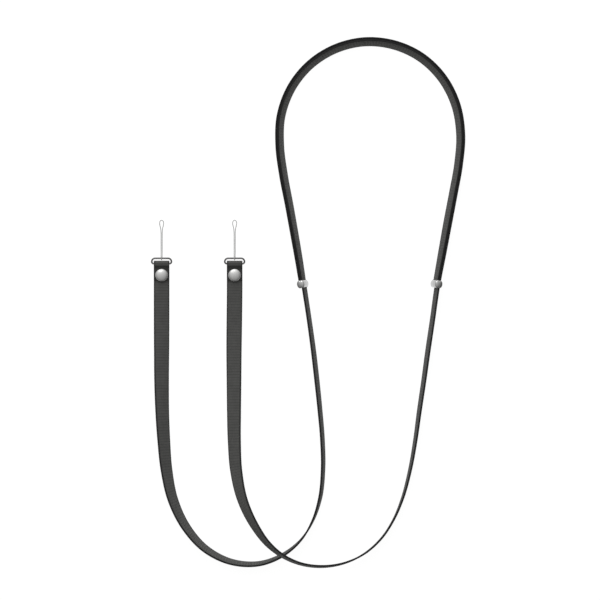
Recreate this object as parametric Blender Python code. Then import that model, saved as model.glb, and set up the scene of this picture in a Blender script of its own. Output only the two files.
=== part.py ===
"""Phone crossbody strap, lying on a flat surface.

Two woven straps cross at the bottom and overlap round the top of a large teardrop loop. Each strap
starts at a wire ring, where its end is folded back and held by a snap. It runs down a leg, round the
bottom and up one side of the loop, through a steel slider, and on beside the other strap to the far
slider, whose pocket holds its end. The legs lie flat and the straps turn onto their edges towards the
loop, so one strap climbs over the other where they cross.

Units are metres, +Z is up, +Y is the long way of the laid strap, and the origin is under its middle.
"""

import math
from collections import namedtuple

import bmesh
import bpy
from mathutils import Matrix, Vector

# Webbing
STRAP_WIDTH = 0.0128
STRAP_THICKNESS = 0.0015
EDGE_CHAMFER = 0.0004

# The laid strap: the box that the route tables take their shares of
LAID_WIDTH = 0.2575
LAID_LENGTH = 0.4351

# Clear space between neighbouring pieces
GAP = 0.0003

# Ring of round wire at the end of each leg
RING_WIRE = 0.0014
RING_SIDE_PLAY = 0.0010

# Snap that closes the folded end round the ring
SNAP_DIAMETER = 0.0103
SNAP_RIM = 0.0005
SNAP_CROWN = 0.0015
SNAP_POST = 0.0030
SNAP_BACK_DIAMETER = 0.0078
SNAP_BACK_THICKNESS = 0.0006
FOLD_RUN = 0.0042
FLAP_TAIL = 0.0041

# Slider
SLIDER_WALL = 0.0012
SLIDER_LENGTH = 0.0065
SLIDER_ROUNDING = 0.0009

# Cord loop round the ring's upper bar
TETHER_DIAMETER = 0.00065

# How finely the shapes are divided
SECTION_STEP = 0.0062
FOLD_SEGMENTS = 8
RUN_SEGMENTS = 5
WIRE_SIDES = 8
CORNER_SEGMENTS = 5
TURNED_SIDES = 24
CROWN_STEPS = 5
HOLE_SIDES = 16
SLIDER_OUTLINE_STEPS = 24
ROUNDING_STEPS = 3
TETHER_POINTS = 60

# Sizes that follow from those above
LAYER_PITCH = STRAP_THICKNESS + GAP
RING_SLOT = STRAP_THICKNESS + TETHER_DIAMETER + 3 * GAP
RING_RISE = RING_SLOT + RING_WIRE
RING_REACH = STRAP_WIDTH / 2 + RING_SIDE_PLAY + RING_WIRE / 2
RING_LOW_RADIUS = RING_SIDE_PLAY + RING_WIRE / 2
RING_TOP_RADIUS = RING_RISE - RING_LOW_RADIUS
FOLD_RADIUS = RING_WIRE / 2 + GAP + STRAP_THICKNESS / 2
SNAP_LIFT = SNAP_BACK_THICKNESS + GAP
BAR_HEIGHT = SNAP_LIFT + STRAP_THICKNESS / 2 + FOLD_RADIUS
FLAP_HEIGHT = SNAP_LIFT + STRAP_THICKNESS / 2 + LAYER_PITCH
SNAP_DISTANCE = FOLD_RUN + SNAP_DIAMETER / 2
SLIDER_DEPTH = 2 * SLIDER_WALL + 2 * STRAP_THICKNESS + 3 * GAP
SLIDER_HEIGHT = STRAP_WIDTH + 2 * GAP + 2 * SLIDER_WALL
POCKET_REACH = SLIDER_LENGTH / 2 - SLIDER_WALL

# Route tables. across and along are shares of LAID_WIDTH and LAID_LENGTH from the lower left corner of
# the laid strap. lean is the turn of the webbing in degrees: 0 lies flat, 90 stands on its edge, and
# past that the upper edge leans out of the loop. raised is how far the lower edge is lifted, as a share
# of the height that by names.
Row = namedtuple("Row", "across along lean raised by")

LEFT_LEG = [
    Row(0.032, 0.5732, 0, 1.00, "snap"),
    Row(0.032, 0.522, 2, 1.00, "snap"),
    Row(0.032, 0.466, 6, 0.30, "snap"),
    Row(0.032, 0.409, 15, 0.00, "snap"),
    Row(0.032, 0.353, 23, 0.00, "snap"),
    Row(0.034, 0.296, 32, 0.00, "snap"),
    Row(0.039, 0.240, 39, 0.00, "snap"),
    Row(0.048, 0.183, 46, 0.00, "snap"),
    Row(0.068, 0.128, 53, 0.00, "snap"),
    Row(0.109, 0.077, 60, 0.00, "snap"),
    Row(0.172, 0.035, 66, 0.00, "snap"),
    Row(0.257, 0.010, 72, 0.00, "snap"),
    Row(0.352, 0.008, 77, 0.00, "snap"),
    Row(0.417, 0.023, 81, 0.00, "snap"),
    Row(0.478, 0.053, 88, 0.00, "snap"),
    Row(0.515, 0.089, 94, 0.00, "snap"),
    Row(0.537, 0.129, 99, 0.00, "slider"),
    Row(0.547, 0.185, 101, 0.00, "slider"),
    Row(0.545, 0.242, 102, 0.00, "slider"),
    Row(0.537, 0.298, 103, 0.00, "slider"),
    Row(0.527, 0.355, 104, 0.00, "slider"),
    Row(0.516, 0.411, 104, 0.06, "slider"),
    Row(0.503, 0.467, 103, 0.36, "slider"),
]

RIGHT_LEG = [
    Row(0.265, 0.5732, 0, 1.00, "snap"),
    Row(0.265, 0.522, 2, 1.00, "snap"),
    Row(0.264, 0.466, 6, 0.30, "snap"),
    Row(0.263, 0.409, 14, 0.00, "snap"),
    Row(0.263, 0.353, 22, 0.00, "snap"),
    Row(0.263, 0.296, 29, 0.00, "crossing"),
    Row(0.264, 0.240, 36, 0.00, "crossing"),
    Row(0.270, 0.183, 43, 0.06, "crossing"),
    Row(0.290, 0.128, 53, 0.33, "crossing"),
    Row(0.331, 0.077, 63, 0.72, "crossing"),
    Row(0.371, 0.045, 71, 0.93, "crossing"),
    Row(0.416, 0.023, 78, 1.02, "crossing"),
    Row(0.471, 0.008, 82, 0.93, "crossing"),
    Row(0.542, 0.002, 84, 0.68, "crossing"),
    Row(0.613, 0.008, 87, 0.40, "crossing"),
    Row(0.679, 0.026, 90, 0.15, "crossing"),
    Row(0.732, 0.054, 91, 0.02, "crossing"),
    Row(0.772, 0.090, 92, 0.00, "crossing"),
    Row(0.799, 0.128, 95, 0.00, "slider"),
    Row(0.824, 0.183, 98, 0.00, "slider"),
    Row(0.841, 0.239, 100, 0.00, "slider"),
    Row(0.854, 0.295, 102, 0.00, "slider"),
    Row(0.868, 0.351, 103, 0.00, "slider"),
    Row(0.881, 0.407, 104, 0.06, "slider"),
    Row(0.895, 0.463, 104, 0.36, "slider"),
]

# The doubled stretch over the top, between the sliders: its middle line
DOUBLED_LOOP = [
    Row(0.482, 0.535, 104, 1.00, "slider"),
    Row(0.472, 0.573, 106, 0.70, "slider"),
    Row(0.456, 0.628, 108, 0.18, "slider"),
    Row(0.439, 0.684, 109, 0.00, "slider"),
    Row(0.421, 0.740, 110, 0.00, "slider"),
    Row(0.409, 0.796, 110, 0.00, "slider"),
    Row(0.413, 0.852, 110, 0.00, "slider"),
    Row(0.446, 0.905, 111, 0.00, "slider"),
    Row(0.506, 0.949, 111, 0.00, "slider"),
    Row(0.587, 0.979, 111, 0.00, "slider"),
    Row(0.680, 0.992, 111, 0.00, "slider"),
    Row(0.774, 0.986, 112, 0.00, "slider"),
    Row(0.861, 0.962, 113, 0.00, "slider"),
    Row(0.929, 0.922, 113, 0.00, "slider"),
    Row(0.971, 0.872, 112, 0.00, "slider"),
    Row(0.986, 0.816, 111, 0.00, "slider"),
    Row(0.979, 0.760, 110, 0.00, "slider"),
    Row(0.962, 0.704, 110, 0.00, "slider"),
    Row(0.944, 0.648, 110, 0.12, "slider"),
    Row(0.927, 0.593, 108, 0.55, "slider"),
    Row(0.909, 0.535, 105, 1.00, "slider"),
]

# The left strap passes under the right one at this row of its table
CROSSING_ROW = LEFT_LEG[13]

# The cord loop's route from the middle of the ring's upper bar: x across, y away from the strap, z up
TETHER_ROUTE = [
    (0.00000, -0.00132, 0.00010),
    (-0.00008, -0.00110, 0.00082),
    (-0.00022, -0.00040, 0.00128),
    (-0.00036, 0.00060, 0.00128),
    (-0.00042, 0.00200, 0.00062),
    (-0.00044, 0.00400, -0.00070),
    (-0.00044, 0.00650, -0.00205),
    (-0.00044, 0.01000, -0.00295),
    (-0.00046, 0.01400, -0.00295),
    (-0.00046, 0.01800, -0.00295),
    (-0.00050, 0.02150, -0.00295),
    (-0.00080, 0.02450, -0.00295),
    (-0.00140, 0.02700, -0.00295),
    (-0.00165, 0.02900, -0.00295),
    (-0.00115, 0.03065, -0.00295),
    (0.00000, 0.03130, -0.00295),
    (0.00115, 0.03065, -0.00295),
    (0.00165, 0.02900, -0.00295),
    (0.00140, 0.02700, -0.00295),
    (0.00080, 0.02450, -0.00295),
    (0.00050, 0.02150, -0.00295),
    (0.00046, 0.01800, -0.00295),
    (0.00046, 0.01400, -0.00295),
    (0.00044, 0.01000, -0.00295),
    (0.00044, 0.00650, -0.00290),
    (0.00042, 0.00400, -0.00250),
    (0.00040, 0.00200, -0.00190),
    (0.00034, 0.00060, -0.00140),
    (0.00022, -0.00045, -0.00128),
    (0.00008, -0.00112, -0.00082),
    (0.00000, -0.00132, -0.00022),
]

UP = Vector((0, 0, 1))


def clear_scene():
    for obj in list(bpy.data.objects):
        bpy.data.objects.remove(obj, do_unlink=True)


def make_material(name, colour, roughness, metallic):
    material = bpy.data.materials.new(name)
    material.use_nodes = True
    shader = material.node_tree.nodes["Principled BSDF"]
    shader.inputs["Base Color"].default_value = (*colour, 1)
    shader.inputs["Roughness"].default_value = roughness
    shader.inputs["Metallic"].default_value = metallic
    return material


def add_object(name, data, material, root):
    obj = bpy.data.objects.new(name, data)
    bpy.context.scene.collection.objects.link(obj)
    obj.data.materials.append(material)
    obj.parent = root
    return obj


def mesh_from(name, bm):
    """A shaded mesh from bmesh data, with its faces turned outwards."""
    bmesh.ops.recalc_face_normals(bm, faces=bm.faces)
    mesh = bpy.data.meshes.new(name)
    bm.to_mesh(mesh)
    bm.free()
    mesh.shade_smooth()
    mesh.set_sharp_from_angle(angle=math.radians(35))
    return mesh


def skin_rings(bm, rings, closed=False):
    """Joins rings of points with quads; an open row of rings gets a cap at both ends."""
    loops = [[bm.verts.new(point) for point in ring] for ring in rings]
    pairs = list(zip(loops, loops[1:]))
    if closed:
        pairs.append((loops[-1], loops[0]))
    for first, second in pairs:
        for index in range(len(first)):
            following = (index + 1) % len(first)
            bm.faces.new((first[index], first[following], second[following], second[index]))
    if not closed:
        bm.faces.new(loops[0])
        bm.faces.new(loops[-1])


def add_cutter(name, mesh, matrix, root):
    """A hidden solid that a Boolean modifier takes away from a piece."""
    cutter = bpy.data.objects.new(name, mesh)
    bpy.context.scene.collection.objects.link(cutter)
    cutter.parent = root
    cutter.matrix_local = matrix
    cutter.hide_render = True
    cutter.display_type = "WIRE"
    return cutter


def cut_away(obj, cutter):
    modifier = obj.modifiers.new(cutter.name, "BOOLEAN")
    modifier.operation = "DIFFERENCE"
    modifier.solver = "EXACT"
    modifier.object = cutter


def box_mesh(name, low, high):
    bm = bmesh.new()
    bmesh.ops.create_cube(bm, size=1)
    size = [b - a for a, b in zip(low, high)]
    middle = [(a + b) / 2 for a, b in zip(low, high)]
    bmesh.ops.scale(bm, vec=size, verts=bm.verts)
    bmesh.ops.translate(bm, vec=middle, verts=bm.verts)
    return mesh_from(name, bm)


def circle_points(radius, height, sides):
    angles = [2 * math.pi * step / sides for step in range(sides)]
    return [(radius * math.cos(a), radius * math.sin(a), height) for a in angles]


def half_height(lean):
    """Height of the webbing's middle line over its lowest edge at a lean in degrees."""
    turn = math.radians(lean)
    return (STRAP_WIDTH * abs(math.sin(turn)) + STRAP_THICKNESS * abs(math.cos(turn))) / 2


def slider_lift(lean):
    """How far a slider's wall lifts the webbing's lower edge off the surface."""
    turn = math.radians(lean)
    stands = SLIDER_HEIGHT * abs(math.sin(turn)) + SLIDER_DEPTH * abs(math.cos(turn))
    return stands / 2 - half_height(lean) - LAYER_PITCH / 2 * abs(math.cos(turn))


def row_lift(row):
    heights = {
        "snap": SNAP_LIFT,
        "crossing": 2 * half_height(CROSSING_ROW.lean) + GAP,
        "slider": slider_lift(DOUBLED_LOOP[0].lean),
    }
    return row.raised * heights[row.by]


def row_point(row):
    return Vector(((row.across - 0.5) * LAID_WIDTH, (row.along - 0.5) * LAID_LENGTH))


def slopes_of(values, spans):
    """Slope of a smooth curve through the values at each of them."""
    last = len(values) - 1
    steps = [(b - a) / span for a, b, span in zip(values, values[1:], spans)]
    slopes = [steps[0]]
    for index in range(1, last):
        before, after = spans[index - 1], spans[index]
        slopes.append((steps[index - 1] * after + steps[index] * before) / (before + after))
    slopes.append(steps[-1])
    return slopes


def ease(start, end, start_slope, end_slope, span, share):
    """Point at a share of the way along one smooth span between two values."""
    squared, cubed = share ** 2, share ** 3
    return (start * (2 * cubed - 3 * squared + 1) + end * (3 * squared - 2 * cubed)
            + start_slope * span * (cubed - 2 * squared + share) + end_slope * span * (cubed - squared))


def loop_rows(rows, layer):
    """The doubled loop's rows as a strap's own: layer is +1 for the inner one and -1 for the outer.

    Each gives the point, the lean and the lift of the strap's lower edge. The rows run clockwise, so
    the inner layer lies to the right of the way they go.
    """
    points = [row_point(row) for row in rows]
    spans = [(b - a).length for a, b in zip(points, points[1:])]
    own = []
    for row, point, slope in zip(rows, points, slopes_of(points, spans)):
        inward = Vector((slope.y, -slope.x)).normalized()
        turn = math.radians(row.lean)
        shift = layer * LAYER_PITCH / 2 * math.sin(turn)
        inner_extra = LAYER_PITCH * abs(math.cos(turn)) if layer > 0 else 0
        own.append((point + inward * shift, row.lean, row_lift(row) + inner_extra))
    return own


def strap_rows(leg, loop, layer):
    """All rows of one strap, from its ring to the slider that holds its end, and one row beyond."""
    rows = [(row_point(row), row.lean, row_lift(row)) for row in leg]
    rows += loop
    beyond = 2 * rows[-1][0] - rows[-2][0]
    return rows + [(beyond, rows[-1][1], rows[-1][2])]


def smooth_route(rows):
    """Sections of the laid webbing: its middle point and its lean, up to the end in the pocket."""
    points = [row[0] for row in rows]
    leans = [row[1] for row in rows]
    lifts = [row[2] for row in rows]
    spans = [(b - a).length for a, b in zip(points, points[1:])]
    point_slopes = slopes_of(points, spans)
    lean_slopes = slopes_of(leans, spans)
    lift_slopes = slopes_of(lifts, spans)
    end_left = POCKET_REACH - GAP
    sections = []
    for index, span in enumerate(spans):
        count = max(1, round(span / SECTION_STEP))
        shares = [step / count for step in range(count)]
        if index == len(spans) - 1:
            shares = [0, end_left / span]
        for share in shares:
            def between(values, slopes):
                return ease(values[index], values[index + 1], slopes[index], slopes[index + 1], span, share)
            lean = between(leans, lean_slopes)
            lift = max(0, between(lifts, lift_slopes))
            point = between(points, point_slopes)
            sections.append((Vector((point.x, point.y, half_height(lean) + lift)), lean))
    return sections


def folded_end(bar):
    """Sections of the end that is folded back over the ring's lower bar, from its tip to the bar."""
    sections = []
    tip = -(SNAP_DISTANCE + FLAP_TAIL)
    rise = BAR_HEIGHT + FOLD_RADIUS - FLAP_HEIGHT
    sections.append(Vector((bar.x, bar.y + tip, FLAP_HEIGHT)))
    for step in range(RUN_SEGMENTS):
        share = step / RUN_SEGMENTS
        height = FLAP_HEIGHT + rise * (3 * share ** 2 - 2 * share ** 3)
        sections.append(Vector((bar.x, bar.y - FOLD_RUN * (1 - share), height)))
    for step in range(FOLD_SEGMENTS):
        turn = math.pi * step / FOLD_SEGMENTS
        reach = FOLD_RADIUS * math.sin(turn)
        height = BAR_HEIGHT + FOLD_RADIUS * math.cos(turn)
        sections.append(Vector((bar.x, bar.y + reach, height)))
    return [(point, 0) for point in sections]


def webbing_outline():
    """Cross-section of the webbing as (across, through) points, its corners taken off."""
    wide, thick = STRAP_WIDTH / 2, STRAP_THICKNESS / 2
    chamfer = min(EDGE_CHAMFER, thick * 0.8)
    quarter = [(wide, thick - chamfer), (wide - chamfer, thick)]
    top = quarter + [(-across, through) for across, through in reversed(quarter)]
    return top + [(-across, -through) for across, through in top]


def make_strap(name, leg, loop, rising_edge, material, root):
    """One webbing half. rising_edge is +1 where its right-hand edge rises, and -1 for the left."""
    bar = row_point(leg[0])
    folded = folded_end(bar)
    sections = folded + smooth_route(strap_rows(leg, loop, rising_edge))
    outline = webbing_outline()
    rings = []
    for index, (point, lean) in enumerate(sections):
        before = sections[max(index - 1, 0)][0]
        after = sections[min(index + 1, len(sections) - 1)][0]
        onward = (after - before).normalized()
        right = Vector((-1, 0, 0)) if index <= len(folded) else onward.cross(UP).normalized()
        turn = math.radians(lean)
        width = right * math.cos(turn) + UP * math.sin(turn) * rising_edge
        width = (width - onward * width.dot(onward)).normalized()
        face = width.cross(onward)
        rings.append([point + width * across + face * through for across, through in outline])
    bm = bmesh.new()
    skin_rings(bm, rings)
    return add_object(name, mesh_from(name, bm), material, root)


def ring_corner(centre, radius, start):
    """Points of a quarter turn of the ring's wire."""
    turns = [start + math.pi / 2 * step / CORNER_SEGMENTS for step in range(CORNER_SEGMENTS + 1)]
    return [Vector((centre[0] + radius * math.cos(a), centre[1] + radius * math.sin(a), 0)) for a in turns]


def make_ring(name, bar, material, root):
    """Wire ring lying level, with its lower bar in the fold of the webbing."""
    low_x, low_y = RING_REACH - RING_LOW_RADIUS, RING_LOW_RADIUS
    top_x, top_y = RING_REACH - RING_TOP_RADIUS, RING_RISE - RING_TOP_RADIUS
    path = ring_corner((low_x, low_y), RING_LOW_RADIUS, -math.pi / 2)[:-1]
    path += ring_corner((top_x, top_y), RING_TOP_RADIUS, 0)
    path += ring_corner((-top_x, top_y), RING_TOP_RADIUS, math.pi / 2)
    path += ring_corner((-low_x, low_y), RING_LOW_RADIUS, math.pi)[1:]
    rings = []
    for index, point in enumerate(path):
        onward = (path[(index + 1) % len(path)] - path[index - 1]).normalized()
        outward = onward.cross(UP)
        ring = []
        for across, up, _ in circle_points(RING_WIRE / 2, 0, WIRE_SIDES):
            ring.append(point + outward * across + UP * up)
        rings.append(ring)
    bm = bmesh.new()
    skin_rings(bm, rings, closed=True)
    ring = add_object(name, mesh_from(name, bm), material, root)
    ring.location = (bar.x, bar.y, BAR_HEIGHT)
    return ring


def make_snap(name, place, material, root):
    """Dome on the flap, post through both layers and disc under them, turned in one piece."""
    seat = FLAP_HEIGHT + STRAP_THICKNESS / 2 + GAP
    dome = SNAP_DIAMETER / 2
    profile = [
        (SNAP_BACK_DIAMETER / 2, 0),
        (SNAP_BACK_DIAMETER / 2, SNAP_BACK_THICKNESS),
        (SNAP_POST / 2, SNAP_BACK_THICKNESS),
        (SNAP_POST / 2, seat),
        (dome, seat),
    ]
    for step in range(CROWN_STEPS):
        turn = math.pi / 2 * step / CROWN_STEPS
        profile.append((dome * math.cos(turn), seat + SNAP_RIM + SNAP_CROWN * math.sin(turn)))
    bm = bmesh.new()
    skin_rings(bm, [circle_points(radius, height, TURNED_SIDES) for radius, height in profile])
    snap = add_object(name, mesh_from(name, bm), material, root)
    snap.location = (place.x, place.y, 0)
    return snap


def cut_snap_hole(strap, place, root):
    """Hole through the flap and the layer under it, clear of the snap's post."""
    radius = SNAP_POST / 2 + GAP
    above = 2 * (FLAP_HEIGHT + STRAP_THICKNESS)
    bm = bmesh.new()
    skin_rings(bm, [circle_points(radius, height, HOLE_SIDES) for height in (-above / 2, above)])
    matrix = Matrix.Translation((place.x, place.y, 0))
    cut_away(strap, add_cutter("hole_cutter_" + strap.name, mesh_from("hole_cutter", bm), matrix, root))


def slider_outline(inset):
    """Two lobes side by side, seen along the webbing's width, drawn in by an inset."""
    reach = SLIDER_DEPTH / 2 - inset
    lobe = (SLIDER_DEPTH - LAYER_PITCH) / 2 - inset
    half_length = SLIDER_LENGTH / 2 - inset
    upper = []
    for step in range(SLIDER_OUTLINE_STEPS // 2 + 1):
        across = -reach * math.cos(2 * math.pi * step / SLIDER_OUTLINE_STEPS)
        from_lobe = min(1, abs(abs(across) - LAYER_PITCH / 2) / lobe)
        upper.append((across, half_length * math.sqrt(1 - from_lobe ** 2)))
    lower = [(across, -along) for across, along in reversed(upper[1:-1])]
    return upper + lower


def make_slider(name, loop_end, onward, pocket_side, material, root):
    """Steel body with a slot for the passing strap and a blind pocket for the end of the other.

    onward runs along the webbing out of the pocket. pocket_side is +1 where the pocket lies on the
    loop's outer side and -1 where it lies on the inner side.
    """
    row, outward = loop_end
    tall = SLIDER_HEIGHT / 2
    rings = []
    for side in (-1, 1):
        for step in range(ROUNDING_STEPS + 1):
            turn = math.pi / 2 * (step if side > 0 else ROUNDING_STEPS - step) / ROUNDING_STEPS
            inset = SLIDER_ROUNDING * (1 - math.cos(turn))
            height = side * (tall - SLIDER_ROUNDING + SLIDER_ROUNDING * math.sin(turn))
            rings.append([(across, along, height) for across, along in slider_outline(inset)])
    bm = bmesh.new()
    skin_rings(bm, rings)
    slider = add_object(name, mesh_from(name, bm), material, root)

    lean_out = math.radians(row.lean - 90)
    across_axis = outward * math.cos(lean_out) - UP * math.sin(lean_out)
    up_axis = outward * math.sin(lean_out) + UP * math.cos(lean_out)
    point = row_point(row)
    height = half_height(row.lean) + row_lift(row) + LAYER_PITCH / 2 * math.sin(lean_out)
    axes = Matrix((across_axis, up_axis.cross(across_axis), up_axis)).transposed().to_4x4()
    matrix = Matrix.Translation((point.x, point.y, height)) @ axes
    slider.matrix_local = matrix

    toward_loop = 1 if axes.col[1].to_3d().dot(onward) > 0 else -1
    slot_half = STRAP_THICKNESS / 2 + GAP
    pocket = LAYER_PITCH / 2 + slot_half
    slot_tall = STRAP_WIDTH / 2 + GAP
    past = SLIDER_LENGTH
    passing = -pocket_side * LAYER_PITCH / 2
    low = (passing - slot_half, -past, -slot_tall)
    high = (passing + slot_half, past, slot_tall)
    cut_away(slider, add_cutter("slot_cutter_" + name, box_mesh("slot_cutter", low, high), matrix, root))
    ends = sorted((-toward_loop * POCKET_REACH, toward_loop * past))
    low = (-pocket, ends[0], -slot_tall)
    high = (pocket, ends[1], slot_tall)
    cut_away(slider, add_cutter("pocket_cutter_" + name, box_mesh("pocket_cutter", low, high), matrix, root))
    return slider


def make_tether(name, bar, material, root):
    """Thin cord loop whose two ends meet in the ring's slot, once round its upper bar."""
    points = [Vector(point) for point in TETHER_ROUTE]
    spans = [(b - a).length for a, b in zip(points, points[1:])]
    slopes = slopes_of(points, spans)
    total = sum(spans)
    smooth = []
    for step in range(TETHER_POINTS):
        distance = total * step / (TETHER_POINTS - 1)
        index = 0
        while index < len(spans) - 1 and distance > spans[index]:
            distance -= spans[index]
            index += 1
        share = min(1, distance / spans[index])
        smooth.append(ease(points[index], points[index + 1], slopes[index], slopes[index + 1],
                           spans[index], share))
    curve = bpy.data.curves.new(name, "CURVE")
    curve.dimensions = "3D"
    curve.bevel_depth = TETHER_DIAMETER / 2
    curve.bevel_resolution = 2
    curve.use_fill_caps = True
    spline = curve.splines.new("POLY")
    spline.points.add(len(smooth) - 1)
    for spot, point in zip(spline.points, smooth):
        spot.co = (*point, 1)
    tether = add_object(name, curve, material, root)
    tether.location = (bar.x, bar.y + RING_RISE, BAR_HEIGHT)
    return tether


def centre_over_origin(root, pieces):
    """Moves everything so that the origin is under the middle of the pieces."""
    bpy.context.view_layer.update()
    corners = [piece.matrix_world @ Vector(corner) for piece in pieces for corner in piece.bound_box]
    for axis in (0, 1):
        values = [corner[axis] for corner in corners]
        root.location[axis] = -(min(values) + max(values)) / 2
    bpy.context.view_layer.update()


def main():
    clear_scene()
    root = bpy.data.objects.new("crossbody_strap", None)
    bpy.context.scene.collection.objects.link(root)
    webbing = make_material("charcoal webbing", (0.055, 0.055, 0.053), 0.85, 0)
    polished = make_material("polished steel", (0.72, 0.72, 0.72), 0.18, 1)
    satin = make_material("satin steel", (0.62, 0.62, 0.61), 0.38, 1)
    cord = make_material("light grey cord", (0.62, 0.62, 0.62), 0.7, 0)

    inner_loop = loop_rows(DOUBLED_LOOP, 1)
    outer_loop = list(reversed(loop_rows(DOUBLED_LOOP, -1)))
    straps = [
        make_strap("strap_inner", LEFT_LEG, inner_loop, 1, webbing, root),
        make_strap("strap_outer", RIGHT_LEG, outer_loop, -1, webbing, root),
    ]
    pieces = list(straps)
    for side, leg, strap in (("left", LEFT_LEG, straps[0]), ("right", RIGHT_LEG, straps[1])):
        bar = row_point(leg[0])
        place = bar - Vector((0, SNAP_DISTANCE))
        cut_snap_hole(strap, place, root)
        pieces.append(make_ring("ring_" + side, bar, polished, root))
        pieces.append(make_snap("snap_" + side, place, satin, root))
        make_tether("tether_" + side, bar, cord, root)

    for side, row, neighbour, leg, pocket_side in (
            ("left", DOUBLED_LOOP[0], DOUBLED_LOOP[1], LEFT_LEG, 1),
            ("right", DOUBLED_LOOP[-1], DOUBLED_LOOP[-2], RIGHT_LEG, -1)):
        onward = (row_point(neighbour) - row_point(leg[-1])).normalized().to_3d()
        middle = row_point(DOUBLED_LOOP[0]).lerp(row_point(DOUBLED_LOOP[-1]), 0.5).to_3d()
        outward = onward.cross(UP)
        if outward.dot(row_point(row).to_3d() - middle) < 0:
            outward = -outward
        pieces.append(make_slider("slider_" + side, (row, outward), onward, pocket_side, polished, root))

    centre_over_origin(root, pieces)


main()
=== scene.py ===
"""Phone crossbody strap: ribbed webbing, steel fittings and cord loops, laid on a pale floor.

Run as a script in Blender. Each piece is made by an operator of its own, at the place that the frame
gives, and the panel in the 3D view's sidebar lists them.
"""

import math
from collections import namedtuple

import bmesh
import bpy
import numpy as np
from bpy.props import FloatProperty, FloatVectorProperty, IntProperty, PointerProperty
from mathutils import Matrix, Vector


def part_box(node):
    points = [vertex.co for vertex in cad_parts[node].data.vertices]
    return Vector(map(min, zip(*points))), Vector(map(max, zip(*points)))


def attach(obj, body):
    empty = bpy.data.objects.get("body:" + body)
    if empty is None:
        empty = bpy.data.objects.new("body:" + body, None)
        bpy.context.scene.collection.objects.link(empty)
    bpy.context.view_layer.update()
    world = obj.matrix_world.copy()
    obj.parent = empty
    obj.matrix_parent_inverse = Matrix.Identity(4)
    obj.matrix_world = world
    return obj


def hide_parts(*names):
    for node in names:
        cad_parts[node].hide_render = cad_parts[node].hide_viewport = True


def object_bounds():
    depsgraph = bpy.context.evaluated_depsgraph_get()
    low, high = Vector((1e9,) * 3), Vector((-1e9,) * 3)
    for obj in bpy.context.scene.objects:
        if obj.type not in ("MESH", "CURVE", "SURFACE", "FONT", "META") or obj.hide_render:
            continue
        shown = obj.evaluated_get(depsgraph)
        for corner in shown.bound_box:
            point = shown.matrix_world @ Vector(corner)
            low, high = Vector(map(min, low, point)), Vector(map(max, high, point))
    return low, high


bl_info = {
    "name": "Phone crossbody strap",
    "version": (1, 0, 0),
    "blender": (4, 5, 0),
    "location": "3D View > Sidebar > Strap",
    "description": "Makes a laid phone crossbody strap with its finishes and its stage",
    "category": "Object",
}

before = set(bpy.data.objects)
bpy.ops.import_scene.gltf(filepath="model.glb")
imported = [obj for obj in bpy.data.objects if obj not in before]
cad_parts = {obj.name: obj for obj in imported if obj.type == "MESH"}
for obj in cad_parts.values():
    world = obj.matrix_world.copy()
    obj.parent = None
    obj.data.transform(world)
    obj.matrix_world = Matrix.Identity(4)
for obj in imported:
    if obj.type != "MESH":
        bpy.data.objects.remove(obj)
cad_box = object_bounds()

# Route of the webbing. across and along are shares of the laid width and length from its lower left
# corner. lean is the turn of the webbing in degrees: 0 lies flat, 90 stands on its edge. raised is how
# far the lower edge is lifted, as a share of the height that by names.
Row = namedtuple("Row", "across along lean raised by")


def rows(by, *numbers):
    """Rows that are all lifted by a share of one height."""
    return [Row(*four, by) for four in numbers]


LEFT_LEG = rows(
    "snap",
    (0.032, 0.5732, 0, 1.00),
    (0.032, 0.522, 2, 1.00),
    (0.032, 0.466, 6, 0.30),
    (0.032, 0.409, 15, 0.00),
    (0.032, 0.353, 23, 0.00),
    (0.034, 0.296, 32, 0.00),
    (0.039, 0.240, 39, 0.00),
    (0.048, 0.183, 46, 0.00),
    (0.068, 0.128, 53, 0.00),
    (0.109, 0.077, 60, 0.00),
    (0.172, 0.035, 66, 0.00),
    (0.257, 0.010, 72, 0.00),
    (0.352, 0.008, 77, 0.00),
    (0.417, 0.023, 81, 0.00),
    (0.478, 0.053, 88, 0.00),
    (0.515, 0.089, 94, 0.00),
) + rows(
    "slider",
    (0.537, 0.129, 99, 0.00),
    (0.547, 0.185, 101, 0.00),
    (0.545, 0.242, 102, 0.00),
    (0.537, 0.298, 103, 0.00),
    (0.527, 0.355, 104, 0.00),
    (0.516, 0.411, 104, 0.06),
    (0.503, 0.467, 103, 0.36),
)

RIGHT_LEG = rows(
    "snap",
    (0.265, 0.5732, 0, 1.00),
    (0.265, 0.522, 2, 1.00),
    (0.264, 0.466, 6, 0.30),
    (0.263, 0.409, 14, 0.00),
    (0.263, 0.353, 22, 0.00),
) + rows(
    "crossing",
    (0.263, 0.296, 29, 0.00),
    (0.264, 0.240, 36, 0.00),
    (0.270, 0.183, 43, 0.06),
    (0.290, 0.128, 53, 0.33),
    (0.331, 0.077, 63, 0.72),
    (0.371, 0.045, 71, 0.93),
    (0.416, 0.023, 78, 1.02),
    (0.471, 0.008, 82, 0.93),
    (0.542, 0.002, 84, 0.68),
    (0.613, 0.008, 87, 0.40),
    (0.679, 0.026, 90, 0.15),
    (0.732, 0.054, 91, 0.02),
    (0.772, 0.090, 92, 0.00),
) + rows(
    "slider",
    (0.799, 0.128, 95, 0.00),
    (0.824, 0.183, 98, 0.00),
    (0.841, 0.239, 100, 0.00),
    (0.854, 0.295, 102, 0.00),
    (0.868, 0.351, 103, 0.00),
    (0.881, 0.407, 104, 0.06),
    (0.895, 0.463, 104, 0.36),
)

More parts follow.
